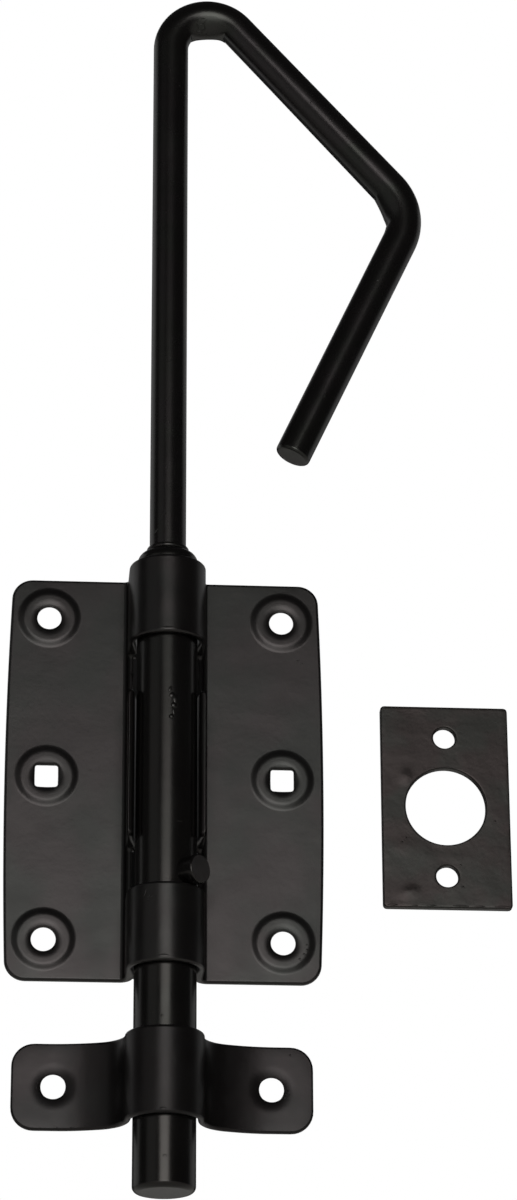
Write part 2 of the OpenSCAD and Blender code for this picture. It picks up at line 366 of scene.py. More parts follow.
# a matt grey black without a highlight, lighter than the bar's black: painted light on the pin's end face,
# whose side stays dark
litPinFacePaint = paintMaterial("pinFacePaintedLight", {
    "dark": "#161515", "light": "#242222", "roughness": 0.5, "roughSpread": 0.05, "ior": 1.5,
    "cloudSize": 3.0, "peelSize": 0.8, "peelDepth": 0.01, "waveSize": 9.0, "waveDepth": 0.04,
    "patchSize": 6.0, "shineA": "#fff8f6", "shineB": "#f8faf6"})
# a leaner coat on the keep: duller than the plate beside it
keepPaint = paintMaterial("dullBlackPowderCoat", {
    "dark": "#070606", "light": "#0c0b0b", "roughness": 0.36, "roughSpread": 0.04, "ior": 1.395,
    "cloudSize": 10.0, "peelSize": 1.4, "peelDepth": 0.018, "waveSize": 10.0, "waveDepth": 0.1,
    "patchSize": 20.0, "shineA": "#fff6f5", "shineB": "#faf8f6"})
# brushed on thick: coarse peel and slow waves break up what the flat plate mirrors
strikePaint = paintMaterial("thickBlackEnamel", {
    "dark": "#080706", "light": "#0d0b0a", "roughness": 0.35, "roughSpread": 0.04, "ior": 1.46,
    "cloudSize": 12.0, "peelSize": 2.2, "peelDepth": 0.05, "waveSize": 9.0, "waveDepth": 0.12,
    "patchSize": 15.0, "shineA": "#fff0ec", "shineB": "#f3f6ee"})
print("paints mixed")


# Sheet pieces: the outer skin is modelled flat, bent by spins, then given its thickness
sheet = {
    "thick": 2.0,
    "axis": -14.2,  # the bar's axis, out from the door
    "loopRadius": 12.0,
    "loopSteps": 24,  # in each loop's quarter turn
    "edgeRound": (0.95, 0.4),  # in front and at the back
    "sharpAngle": 50.0,  # degrees, past which an edge is rounded
}


def edgeShare(m, widest):
    # the rounding at an edge's middle, as a part of the widest one
    return sheet["edgeRound"][0 if m.y < -sheet["thick"] / 2 else 1] / widest


def ringRise(ring, reach, holeRadius):
    # how far the sheet stands out at this distance from the middle of the hole
    share = (reach - holeRadius) / ring["roll"]
    rise = -ring["dish"] * (1 - min(1.0, share)) ** ring["bend"]
    if "height" in ring:
        climb = min(1.0, (ring["radius"] - reach) / ring["flank"])
        rise += ring["height"] * math.sin(math.pi / 2 * climb) ** 2
    return rise


def addHole(x, z, ring, holeRadius, square=None):
    # a pressed ring or a dish round a hole: the circle is extruded inwards, step by step
    center = (x, -sheet["thick"], z)
    steps = ring["steps"]
    radii = [ring["radius"] + (holeRadius - ring["radius"]) * i / steps for i in range(steps + 1)]
    rise = [ringRise(ring, reach, holeRadius) for reach in radii]
    used = steps if square is None else square["lastStep"]
    pick(lambda p: near(math.hypot(p.x - x, p.z - z), ring["radius"], 0.05), "EDGE")
    for i in range(1, used + 1):
        extrudeEdges((0, rise[i - 1] - rise[i], 0))
        shrink = radii[i] / radii[i - 1]
        bpy.ops.transform.resize(value=(shrink, 1, shrink), center_override=center)
    if square is None:
        return
    # the square hole's rim is made well in front, joined on, and then moved onto the ring
    level = -sheet["thick"] - square["ahead"]
    bpy.ops.mesh.primitive_plane_add(
        size=square["width"], location=(x, level, z), rotation=(math.pi / 2, 0, 0))
    bpy.ops.mesh.delete(type="ONLY_FACE")
    half = square["width"] / 2
    pick(lambda p: near(abs(p.x - x), half) and near(abs(p.z - z), half))
    bpy.ops.mesh.bevel(offset=square["corner"], segments=square["cornerSteps"], affect="VERTICES")
    pick(lambda p: near(p.y, level), "EDGE")
    bpy.ops.mesh.subdivide(number_cuts=square["sideCuts"])
    pick(lambda p: near(p.y, level) or near(math.hypot(p.x - x, p.z - z), radii[used]), "EDGE")
    bpy.ops.mesh.bridge_edge_loops()
    work = bmesh.from_edit_mesh(bpy.context.edit_object.data)
    for point in work.verts:
        if near(point.co.y, level):
            reach = max(holeRadius, math.hypot(point.co.x - x, point.co.z - z))
            point.co.y = -sheet["thick"] - ringRise(ring, reach, holeRadius)
    bmesh.update_edit_mesh(bpy.context.edit_object.data)


def giveThickness(piece, thickness):
    addModifier(
        piece, "SOLIDIFY", thickness=thickness, offset=-1.0, use_even_offset=True, use_quality_normals=True)


def roundEdges(piece, widest, share, segments=4):
    # rounds the sharp edges; share(edge middle) is the part of the widest rounding that an edge gets
    work = bmesh.new()
    work.from_mesh(piece.data)
    weights = work.edges.layers.float.new("bevel_weight_edge")
    for edge in work.edges:
        if len(edge.link_faces) == 2 and edge.calc_face_angle() > math.radians(sheet["sharpAngle"]):
            edge[weights] = share((edge.verts[0].co + edge.verts[1].co) / 2)
    work.to_mesh(piece.data)
    work.free()
    addModifier(
        piece, "BEVEL", width=widest, segments=segments, limit_method="WEIGHT", use_clamp_overlap=False)


backPlate = {
    "width": 99.5,
    "height": 131.5,
    "sideBow": 1.4,
    "sideCuts": 31,
    "cornerRadius": 6.2,
    "cornerSteps": 12,
    "footRadius": 1.5,
    "footSteps": 8,
    "windowTop": 39.75,
    "windowBottom": -40.95,
    "wallHalf": 24.0,
    "wallTop": -18.0,
    # the swell of the legs' inner faces is painted shade: dark metal that closes the gap beside the bar
    "legSwell": [(-6.5, 1.1), (-8.5, 0.85), (-11.0, 0.45), (-13.0, 0.2), (-14.2, 0.0)],  # level, amount
    "wallSlope": 0.5,  # how far a wall's top falls to the bar, and a notch's floor to the outside
    "windowRound": (1.6, 0.35),  # the bar's side of a wall's top and the other side; a notch has them swapped
    "roundChange": (1.0, 4.0),  # how far out from the notch's floor that swap begins, and how long it takes
    "roundSteps": 6,
    "notchFloor": -5.0,
    "wallCorner": 2.0,
    "wallCornerSteps": 8,
    "notchCorner": 1.5,
    "notchCornerSteps": 6,
    "holeX": 36.75,
    "holeZ": 52.75,
    "screwRadius": 3.5,
    "ring": {"radius": 10.3, "height": 0.6, "flank": 2.8, "dish": 0.6, "roll": 3.0, "bend": 2.2,
             "steps": 17, "aroundSteps": 64},
    "square": {"width": 6.8, "corner": 0.8, "cornerSteps": 5, "sideCuts": 3, "lastStep": 13, "ahead": 3.0},
}


plateTop = backPlate["height"] / 2
legX = sheet["loopRadius"]  # outside of the right leg
legInside = legX - sheet["thick"]
footX = legX + backPlate["footRadius"]  # where the right wing begins
footY = -sheet["thick"] - backPlate["footRadius"]  # where the leg begins


def addWing():
    # right wing: a rectangle with round outer corners, a bowed side and three pressed holes
    b = backPlate
    cornerX = b["width"] / 2 - b["sideBow"]
    middleX = (footX + cornerX) / 2
    addPlane(
        (middleX, -sheet["thick"], 0), (cornerX - footX, 1, b["height"]), (math.pi / 2, 0, 0), "backPlate")
    piece = bpy.context.object
    pick(lambda p: near(p.x, cornerX))
    bpy.ops.mesh.bevel(offset=b["cornerRadius"], segments=b["cornerSteps"], affect="VERTICES")
    pick(lambda p: near(p.x, cornerX), "EDGE")
    bpy.ops.mesh.subdivide(number_cuts=b["sideCuts"])
    work = bmesh.from_edit_mesh(piece.data)
    for point in work.verts:
        share = (point.co.x - footX) / (cornerX - footX)
        point.co.x += b["sideBow"] * share * (1 - (point.co.z / plateTop) ** 2)
    bmesh.update_edit_mesh(piece.data)
    bpy.ops.mesh.select_all(action="SELECT")
    bpy.ops.mesh.delete(type="ONLY_FACE")
    for z in (-b["holeZ"], 0, b["holeZ"]):
        bpy.ops.mesh.primitive_circle_add(
            vertices=b["ring"]["aroundSteps"], radius=b["ring"]["radius"],
            location=(b["holeX"], -sheet["thick"], z), rotation=(math.pi / 2, 0, 0))
    bpy.ops.mesh.select_all(action="SELECT")
    bpy.ops.mesh.fill(use_beauty=True)
    for z in (-b["holeZ"], b["holeZ"]):
        addHole(b["holeX"], z, b["ring"], b["screwRadius"])
    addHole(b["holeX"], 0, b["ring"], b["screwRadius"], b["square"])
    return piece


def addChannelSide():
    # right side of the channel: the strip by the foot, the two legs and the wall between them
    b = backPlate
    levels = [plateTop, b["windowTop"], b["wallHalf"], -b["wallHalf"], b["windowBottom"], -plateTop]
    addPlane((legX, (footY + b["notchFloor"]) / 2, (levels[0] + levels[1]) / 2),
             (1, footY - b["notchFloor"], levels[0] - levels[1]), (0, math.pi / 2, 0))
    for before, after in zip(levels[1:], levels[2:]):
        pick(lambda p: near(p.x, legX) and near(p.z, before), "EDGE")
        extrudeEdges((0, 0, after - before))
    stretches = [(levels[1], levels[0], sheet["axis"]), (levels[5], levels[4], sheet["axis"]),
                 (levels[3], levels[2], b["wallTop"])]
    for low, high, reach in stretches:
        pick(lambda p: near(p.x, legX) and near(p.y, b["notchFloor"])
             and low - slack < p.z < high + slack, "EDGE")
        extrudeEdges((0, reach - b["notchFloor"], 0))
    pick(lambda p: near(p.x, legX), "FACE")
    bpy.ops.mesh.dissolve_faces()
    pick(lambda p: near(p.x, legX) and near(p.y, footY) and not near(abs(p.z), plateTop))
    bpy.ops.mesh.dissolve_verts()
    pick(lambda p: near(p.x, legX) and near(p.y, b["wallTop"]) and near(abs(p.z), b["wallHalf"]))
    bpy.ops.mesh.bevel(offset=b["wallCorner"], segments=b["wallCornerSteps"], affect="VERTICES")
    pick(lambda p: near(p.x, legX) and near(p.y, b["notchFloor"]) and not near(abs(p.z), plateTop))
    bpy.ops.mesh.bevel(offset=b["notchCorner"], segments=b["notchCornerSteps"], affect="VERTICES")
    for level, _ in b["legSwell"][:-1]:
        pick(lambda p: near(p.x, legX), "FACE")
        bpy.ops.mesh.bisect(plane_co=(0, level, 0), plane_no=(0, 1, 0))


def bendChannelSide():
    # the legs are bent on into the loops, and the strip's foot into the wing
    pick(lambda p: near(p.x, legX) and near(p.y, sheet["axis"]), "EDGE")
    bpy.ops.mesh.spin(
        steps=sheet["loopSteps"], angle=math.radians(90), center=(0, sheet["axis"], 0), axis=(0, 0, 1))
    pick(lambda p: near(p.x, legX) and near(p.y, footY), "EDGE")
    bpy.ops.mesh.spin(
        steps=backPlate["footSteps"], angle=math.radians(90), center=(footX, footY, 0), axis=(0, 0, 1))


def swellLegs(p):
    # walls and notches slope, and the legs' inner faces swell towards the bar, as far as it leaves room:
    # painted shade, dark metal that fills the gap beside the bar where there is only shade
    b = backPlate
    if abs(p.x) > footX or p.y < sheet["axis"] and not near(p.y, b["wallTop"]):
        return None
    if near(p.y, b["wallTop"]) and near(abs(p.x), legInside):
        return Vector((p.x, p.y + b["wallSlope"], p.z))
    if near(p.y, b["notchFloor"]):
        return Vector((p.x, p.y + b["wallSlope"], p.z)) if near(abs(p.x), legX) else None
    fromFoot = math.hypot(abs(p.x) - footX, p.y - footY)
    onFoot = p.y > footY - slack and near(fromFoot, footX - legInside, 0.05)
    if near(abs(p.x), legInside) or onFoot:
        amount = 0.0
        for (low, less), (high, more) in zip([(0.0, 0.0)] + b["legSwell"], b["legSwell"]):
            if high - slack < p.y <= low:
                amount = less + (more - less) * (low - p.y) / (low - high)
        return Vector((p.x - math.copysign(amount, p.x), p.y, p.z))
    return None


def plateShare(m):
    # like edgeShare, with the walls' tops and the notches' floors rounded more on one side than on the other
    b = backPlate
    wide, narrow = b["windowRound"]
    fromFoot = math.hypot(abs(m.x) - footX, m.y - footY)
    if 0 > m.y > footY and abs(m.x) < footX and fromFoot > b["footRadius"] + 1:
        # behind the foot, the back's tight rounding grows into the legs' wide one
        front, back = sheet["edgeRound"]
        return (back + (front - back) * (m.y / footY) ** 2) / wide
    onLegs = b["windowBottom"] + 0.5 < m.z < b["windowTop"] - 0.5 and legInside - 1 < abs(m.x) < legX + 0.1
    if not onLegs or m.y > b["notchFloor"] + b["wallSlope"] + 0.1:
        return edgeShare(m, wide)
    start, length = b["roundChange"]
    onWall = min(1.0, max(0.0, (b["notchFloor"] - start - m.y) / length))
    size = wide * onWall + narrow * (1 - onWall)
    return (size if abs(m.x) < legX - 1 else wide + narrow - size) / wide


def buildBackPlate():
    piece = addWing()
    addChannelSide()
    bendChannelSide()
    closeMesh()
    addModifier(piece, "MIRROR", use_clip=True, merge_threshold=0.01)
    faceOutwards(piece)
    giveThickness(piece, sheet["thick"])
    reshape(piece, swellLegs)
    roundEdges(piece, backPlate["windowRound"][0], plateShare, backPlate["roundSteps"])
    settle(piece)
    putOn(piece, "fixed_parts", "sheet_paint", sheetPaint, "back_plate")
    print("back plate:", len(piece.data.polygons), "faces")


buildBackPlate()

barShape = {
    "radius": 9.5,
    "top": 70.45,
    "bottom": -133.55,
    "topRound": 3.5,
    "endRound": 1.9,
    "roundSteps": 8,
    "boreRadius": 5.8,
    "boreDepth": 18.05,
    "aroundSteps": 96,
}


def buildBar():
    b = barShape
    bpy.ops.mesh.primitive_cylinder_add(
        vertices=b["aroundSteps"], radius=b["radius"], depth=b["top"] - b["bottom"],
        location=(0, sheet["axis"], (b["top"] + b["bottom"]) / 2))
    piece = takeNew("boltBar")
    openMesh(piece)
    for level, size in ((b["top"], b["topRound"]), (b["bottom"], b["endRound"])):
        pick(lambda p: near(p.z, level), "EDGE")
        bpy.ops.mesh.bevel(offset=size, segments=b["roundSteps"])
    pick(lambda p: near(p.z, b["top"]), "FACE")
    bpy.ops.mesh.inset(thickness=b["radius"] - b["topRound"] - b["boreRadius"])
    extrudeFaces((0, 0, -b["boreDepth"]))
    closeMesh()
    settle(piece)
    putOn(piece, "sliding_bar", "bar_paint", barPaint, "bolt")
    print("bar:", len(piece.data.polygons), "faces")


buildBar()

bowHandle = {
    "radius": 5.75,
    "foot": 52.45,  # the spigot's end, inside the bar
    "stemTop": 286.85,
    "armTurn": 138.9,  # degrees, from straight up to the sloping arm
    "armLength": 122.4,
    "gripTurn": 65.7,
    "gripLength": 98.4,
    "topBend": 12.5,  # radius along the rod's middle
    "sideBend": 18.7,
    "bendSteps": (30, 20),  # in the top bend and in the side bend
    "endRound": 1.1,
    "endSteps": 4,
    # the flat that bending left inside each bend: its depth, and the way it faces in x and z
    "crushed": {"top": (2.7, (0.07, -0.998)), "side": (2.0, (-0.927, -0.375))},
    "crushSoft": 0.8,  # how gently the flat begins
    "crushPower": 5.0,  # how fast the crush dies out towards the rod's middle
    "crushFlat": 0.85,  # how far short of its full depth the flat stops
    "beadThick": 1.8,
    "beadGap": 0.05,  # between the bead and the bar's top
    "beadSteps": (64, 16),  # round the rod, and round the bead itself
    "aroundSteps": 48,
}


def buildHandle():
    h = bowHandle
    topCut = h["topBend"] * math.tan(math.radians(h["armTurn"] / 2))
    sideCut = h["sideBend"] * math.tan(math.radians(h["gripTurn"] / 2))
    bpy.ops.mesh.primitive_circle_add(
        vertices=h["aroundSteps"], radius=h["radius"], fill_type="NGON",
        location=(0, sheet["axis"], h["foot"]))
    piece = takeNew("bowHandle")
    openMesh(piece)
    bpy.ops.mesh.select_all(action="SELECT")
    extrudeFaces((0, 0, h["stemTop"] - topCut - h["foot"]))
    turned = math.radians(h["armTurn"])
    bendStart = h["stemTop"] - topCut
    bpy.ops.mesh.spin(
        steps=h["bendSteps"][0], angle=-turned, center=(h["topBend"], sheet["axis"], bendStart),
        axis=(0, 1, 0))
    along = Vector((math.sin(turned), 0, math.cos(turned)))
    extrudeFaces(along * (h["armLength"] - topCut - sideCut))
    corner = Vector((0, sheet["axis"], h["stemTop"])) + along * (h["armLength"] - sideCut)
    inward = Vector((math.cos(turned), 0, -math.sin(turned)))
    center = corner + inward * h["sideBend"]
    turned += math.radians(h["gripTurn"])
    bpy.ops.mesh.spin(
        steps=h["bendSteps"][1], angle=-math.radians(h["gripTurn"]), center=center, axis=(0, 1, 0))
    along = Vector((math.sin(turned), 0, math.cos(turned)))
    extrudeFaces(along * (h["gripLength"] - sideCut))
    bpy.ops.mesh.region_to_loop()
    bpy.ops.mesh.bevel(offset=h["endRound"], segments=h["endSteps"])
    mendMesh()
    bends = [((h["topBend"], bendStart), h["topBend"], *h["crushed"]["top"]),
             ((center.x, center.z), h["sideBend"], *h["crushed"]["side"])]

    def crush(p):
        # inside each bend, what stands past a slanting flat is pressed back to it, softly at its border
        for (middleX, middleZ), radius, depth, (faceX, faceZ) in bends:
            reach = math.hypot(p.x - middleX, p.z - middleZ)
            inside = (radius - reach) / h["radius"]
            if not 0 < inside < 1.01:
                continue
            above = -((p.x - middleX) * faceX + (p.z - middleZ) * faceZ)
            rise = (radius - h["radius"]) * (above / reach - 1) + depth
            if rise > 0:
                rise = rise ** 2 / (rise + h["crushSoft"])
                most = above - (radius - h["radius"] - depth + h["crushFlat"])
                move = min(rise * inside ** h["crushPower"], most)
                return p + Vector((faceX, 0, faceZ)) * move
        return None

    reshape(piece, crush)
    settle(piece)
    putOn(piece, "turning_handle", "bar_paint", handlePaint, "handle")
    print("handle:", len(piece.data.polygons), "faces")


def buildWeldBead():
    h = bowHandle
    bpy.ops.mesh.primitive_torus_add(
        major_radius=h["radius"], minor_radius=h["beadThick"] / 2,
        major_segments=h["beadSteps"][0], minor_segments=h["beadSteps"][1],
        location=(0, sheet["axis"], barShape["top"] + h["beadGap"] + h["beadThick"] / 2))
    piece = takeNew("weldBead")
    settle(piece)
    putOn(piece, "turning_handle", "bar_paint", handlePaint)
    print("weld bead:", len(piece.data.polygons), "faces")


buildHandle()
buildWeldBead()

stopStud = {
    "radius": 4.5,
    "level": -36.4,
    "reach": 14.5,
    "lean": 45.0,  # degrees from the front towards the right
    "edgeRound": 0.66,
    "edgeSteps": 4,
    "crown": 0.12,
    "crownInsets": (0.175, 0.25),  # widths of the two rings of faces inside the edge, as parts of the radius
    "seat": 9.55,  # from the bar's axis, just off the bar
    "aroundSteps": 64,
    "facing": 0.97,  # what faces out along the pin by more than this, of 1, gets the lighter paint, painted light on its end
}


def buildStopPin():
    # a stud that stands on the round bar: its foot follows the bar, its end is slightly crowned
    t = stopStud
    bpy.ops.mesh.primitive_circle_add(
        vertices=t["aroundSteps"], radius=t["radius"], fill_type="TRIFAN", location=(0, 0, t["seat"]))
    piece = takeNew("stopPin")
    openMesh(piece)
    bpy.ops.mesh.select_all(action="SELECT")
    extrudeFaces((0, 0, t["reach"] - t["crown"] - t["seat"]))
    bpy.ops.mesh.region_to_loop()
    bpy.ops.mesh.bevel(offset=t["edgeRound"], segments=t["edgeSteps"])
    pick(lambda p: near(p.z, t["reach"] - t["crown"]), "FACE")
    for share in t["crownInsets"]:
        bpy.ops.mesh.inset(thickness=t["radius"] * share)
    closeMesh()

    def shape(p):
        if near(p.z, t["reach"] - t["crown"]):
            inside = 1 - min(1.0, math.hypot(p.x, p.y) / (t["radius"] - t["edgeRound"])) ** 2
            return Vector((p.x, p.y, p.z + t["crown"] * inside))
        if near(p.z, t["seat"]):
            return Vector((p.x, p.y, math.sqrt(t["seat"] ** 2 - p.x ** 2)))
        return None

    reshape(piece, shape)
    openMesh(piece)
    mendMesh()
    # the stud's own x runs round the bar, its y along the bar and its z out from the bar
    lean = math.radians(t["lean"])
    piece.rotation_euler = (math.pi / 2, 0, lean)
    piece.location = (0, sheet["axis"], t["level"])
    bpy.ops.object.transform_apply(location=True, rotation=True, scale=True)
    settle(piece)
    putOn(piece, "turning_handle", "bar_paint", barPaint, "stop_pin")
    # the end face gets the lighter paint: painted light that stands in for the light the face catches
    piece.data.materials.append(litPinFacePaint)
    for face in piece.data.polygons:
        if face.normal.dot(Vector((math.sin(lean), -math.cos(lean), 0))) > t["facing"]:
            face.material_index = 1
    print("stop pin:", len(piece.data.polygons), "faces")


buildStopPin()

zoneFaces = {
    "cornerDraw": 0.35,  # from 0 for even steps along a side to 1 for steps much shorter at its corners
    "ringGrow": 1.3,  # the rings get wider away from the hole
}


def addZone(work, y, box, hole, acrossSteps, upSteps, rings):
    # a rectangle with a round hole, as rings of faces from the hole out to the rectangle
    left, right, low, high = box
    holeX, holeZ, radius = hole
    corners = [(right, low), (right, high), (left, high), (left, low)]
    counts = [upSteps, acrossSteps, upSteps, acrossSteps]
    draw = zoneFaces["cornerDraw"]
    rim = []
    for count, start, end in zip(counts, corners, corners[1:] + corners[:1]):
        for place in range(count):
            share = draw * (0.5 - 0.5 * math.cos(math.pi * place / count)) + (1 - draw) * place / count
            rim.append((start[0] + (end[0] - start[0]) * share, start[1] + (end[1] - start[1]) * share))
    shares = [(i / rings) ** zoneFaces["ringGrow"] for i in range(rings + 1)]
    spokes = []
    for x, z in rim:
        around = math.atan2(z - holeZ, x - holeX)
        startX, startZ = holeX + radius * math.cos(around), holeZ + radius * math.sin(around)
        spokes.append([work.verts.new((startX + (x - startX) * share, y, startZ + (z - startZ) * share))
                       for share in shares])
    for spoke, following in zip(spokes, spokes[1:] + spokes[:1]):
        for i in range(rings):
            work.faces.new((spoke[i], spoke[i + 1], following[i + 1], following[i]))


def ontoArc(inX, inZ):
    # a place in a square corner, from its arc's centre, drawn in so that the corner's border is the arc
    squeeze = max(inX, inZ) / math.hypot(inX, inZ)
    return inX * squeeze, inZ * squeeze


keepStrap = {
    "width": 91.4,
    "height": 26.8,
    "middle": -98.75,
    "cornerRadius": 7.0,
    # the ear curves away in a wide arc from earStart, and a tight arc takes it on into the loop
    "earStart": 34.0,
    "wideRadius": 48.68,
    "wideTurn": 17.64,  # degrees
    "tightCenter": 22.4,
    "tightSteps": 20,
    "holeX": 33.0,
    "holeRadius": 3.5,
    "ring": {"radius": 7.5, "dish": 0.8, "roll": 4.0, "bend": 2.0},
    "earSteps": (20, 20, 18),  # faces across, up, and out from the hole
    "edgeFall": 0.12,
    "fallWide": 3.5,
}


def buildKeep():
    k = keepStrap
    outer = sheet["loopRadius"]
    wideTurn = math.radians(k["wideTurn"])
    loopX = k["earStart"] - k["wideRadius"] * wideTurn  # the ear's inner end, while it is still flat
    endX = k["width"] / 2
    half = k["height"] / 2
    r = k["cornerRadius"]
    work = bmesh.new()
    addZone(work, -sheet["thick"], (loopX, endX, k["middle"] - half, k["middle"] + half),
            (k["holeX"], k["middle"], k["holeRadius"]), *k["earSteps"])
    piece = pieceFrom(work, "keepStrap")

    def curve(p):
        # round corners, a dish round the hole, edges that fall away a little, and the wide arc
        x, dz = p.x, p.z - k["middle"]
        reach = math.hypot(x - k["holeX"], dz)
        inX, inZ = x - (endX - r), abs(dz) - (half - r)
        if inX > 0 and inZ > 0:
            edge = r - max(inX, inZ)
            inX, inZ = ontoArc(inX, inZ)
            x = endX - r + inX
            dz = math.copysign(half - r + inZ, dz)
        else:
            edge = min(endX - x, half - abs(dz))
        fade = min(1.0, (x - loopX) / (k["earStart"] - loopX))  # to nothing where the ear meets the loop
        depth = k["edgeFall"] * max(0.0, 1 - edge / k["fallWide"]) ** 2 * fade
        if reach < k["ring"]["radius"]:
            depth -= ringRise(k["ring"], reach, k["holeRadius"])
        if x >= k["earStart"]:
            return Vector((x, depth - sheet["thick"], k["middle"] + dz))
        turn = (k["earStart"] - x) / k["wideRadius"]
        return Vector((k["earStart"] - (k["wideRadius"] + depth) * math.sin(turn),
                       (k["wideRadius"] + depth) * math.cos(turn) - k["wideRadius"] - sheet["thick"],
                       k["middle"] + dz))

    reshape(piece, curve)
    openMesh(piece)
    startX = k["earStart"] - k["wideRadius"] * math.sin(wideTurn)
    pick(lambda p: near(p.x, startX, 0.1), "EDGE")
    bpy.ops.mesh.spin(
        steps=k["tightSteps"], angle=wideTurn - math.pi / 2, center=(k["tightCenter"], sheet["axis"], 0),
        axis=(0, 0, 1))
    pick(lambda p: near(p.x, outer, 0.05) and near(p.y, sheet["axis"], 0.05), "EDGE")
    bpy.ops.mesh.spin(
        steps=sheet["loopSteps"], angle=math.radians(90), center=(0, sheet["axis"], 0), axis=(0, 0, 1))
    closeMesh()
    reshape(piece, lambda p: Vector((0, p.y, p.z)) if abs(p.x) < 0.05 else None)
    addModifier(piece, "MIRROR", use_clip=True, merge_threshold=0.01)
    faceOutwards(piece)
    giveThickness(piece, sheet["thick"])
    # the dips don't come through the flat back
    reshape(piece, lambda p: Vector((p.x, 0, p.z)) if p.y > 0 else None)
    roundEdges(piece, sheet["edgeRound"][0], lambda m: edgeShare(m, sheet["edgeRound"][0]))
    settle(piece)
    putOn(piece, "fixed_parts", "sheet_paint", keepPaint, "keep")
    print("keep:", len(piece.data.polygons), "faces")


buildKeep()

strikePlate = {
    "width": 40.2,
    "height": 66.0,
    "thick": 3.0,
    "place": (87.9, -7.8),  # x and z of its middle
    "cornerRadius": 1.2,
    "boreRadius": 12.6,
    "boreZone": 31.0,  # height of the part with the bore; the screw holes share the rest
    "holeZ": 22.75,
    "holeRadius": 3.5,
    "boreSteps": (40, 32, 5),  # faces across, up, and out from the hole
    "holeSteps": (40, 20, 6),
    "edgeRound": 0.45,
    # sags in the thick paint: x and z from the middle, half width, half height, rise
    "sags": [(-12.5, 9.5, 1.8, 2.2, 0.2), (-14.5, 24.0, 4.0, 3.0, 0.07), (-13.0, -13.5, 3.5, 3.0, 0.09),
             (-12.0, -28.0, 2.2, 1.6, 0.3), (10.0, 25.0, 6.0, 4.0, 0.05), (13.0, -18.0, 4.0, 9.0, 0.05),
             (-7.0, -16.0, 3.0, 3.0, 0.06), (4.0, -17.0, 6.0, 2.0, 0.05)],
    "ripple": 0.03,
    "rippleSize": 7.0,
    "sagFade": 2.0,  # width of the border over which sags and ripples die out
}


def buildStrikePlate():
    k = strikePlate
    midX, midZ = k["place"]
    endHeight = (k["height"] - k["boreZone"]) / 2
    work = bmesh.new()
    left, right = midX - k["width"] / 2, midX + k["width"] / 2
    low, high = midZ - k["boreZone"] / 2, midZ + k["boreZone"] / 2
    addZone(work, -k["thick"], (left, right, low, high), (midX, midZ, k["boreRadius"]), *k["boreSteps"])
    for bottom, holeZ in ((low - endHeight, midZ - k["holeZ"]), (high, midZ + k["holeZ"])):
        addZone(work, -k["thick"], (left, right, bottom, bottom + endHeight), (midX, holeZ, k["holeRadius"]),
                *k["holeSteps"])
    piece = pieceFrom(work, "strikePlate")

    # round corners: the points near each corner are drawn in onto its arc
    r = k["cornerRadius"]

    def drawIn(p):
        dx, dz = p.x - midX, p.z - midZ
        inX, inZ = abs(dx) - (k["width"] / 2 - r), abs(dz) - (k["height"] / 2 - r)
        if inX <= 0 or inZ <= 0:
            return None
        inX, inZ = ontoArc(inX, inZ)
        return Vector((midX + math.copysign(k["width"] / 2 - r + inX, dx), p.y,
                       midZ + math.copysign(k["height"] / 2 - r + inZ, dz)))

    faceOutwards(piece)
    reshape(piece, drawIn)
    giveThickness(piece, k["thick"])
    roundEdges(piece, k["edgeRound"], lambda m: 1.0)
    openMesh(piece)
    pick(lambda p: p.y < -k["thick"] + 0.001, "FACE")
    bpy.ops.mesh.subdivide(number_cuts=1)
    closeMesh()

    def sag(p):
        if p.y > -k["thick"] + 0.001:
            return None
        dx, dz = p.x - midX, p.z - midZ
        rise = k["ripple"] * noise.noise(Vector((dx, 0, dz)) / k["rippleSize"])
        for x, z, halfWidth, halfHeight, height in k["sags"]:
            away = ((dx - x) / halfWidth) ** 2 + ((dz - z) / halfHeight) ** 2
            rise += height * math.exp(-away)
        toSides = [k["width"] / 2 - abs(dx), k["height"] / 2 - abs(dz)]
        toHoles = [math.hypot(dx, dz - z) - radius for z, radius in (
            (0, k["boreRadius"]), (k["holeZ"], k["holeRadius"]), (-k["holeZ"], k["holeRadius"]))]
        fade = min(1.0, max(0.0, (min(toSides + toHoles) - k["edgeRound"]) / k["sagFade"]))
        return Vector((p.x, p.y - rise * fade, p.z))

    reshape(piece, sag)
    settle(piece)
    putOn(piece, "fixed_parts", "sheet_paint", strikePaint, "strike_plate")
    print("strike plate:", len(piece.data.polygons), "faces")


buildStrikePlate()

tornLips = {
    "outer": 10.75,  # from the bar's centre line
    "wide": 1.75,
    "level": -4.7,
    "crest": 0.6,
    # how far each lip drops back towards the door: the part that is painted shade in the gap beside the bar
    "drop": 2.6,
    "thick": 0.7,
    # side, lower and upper end, raggedness
    "stretches": [(-1, 20.0, 48.0, 0.5), (1, 20.0, 48.0, 0.3),
                  (-1, -43.5, -17.0, 0.12), (1, -43.5, -17.0, 0.12)],
    "steps": (10, 80),  # across and along
    "slowWaves": (0.3, 0.35),  # waves in a millimetre, across and along
    "fastWaves": (0.8, 1.6),
    "crestWaver": 1.5,  # how much raggedness changes the crest's height, and shifts the lip sideways
    "sideWaver": 0.9,
    "crestEnd": 0.66,  # across the lip, from 0 at its outer edge to 1 at the inner one
    "dropStart": 0.33,
}


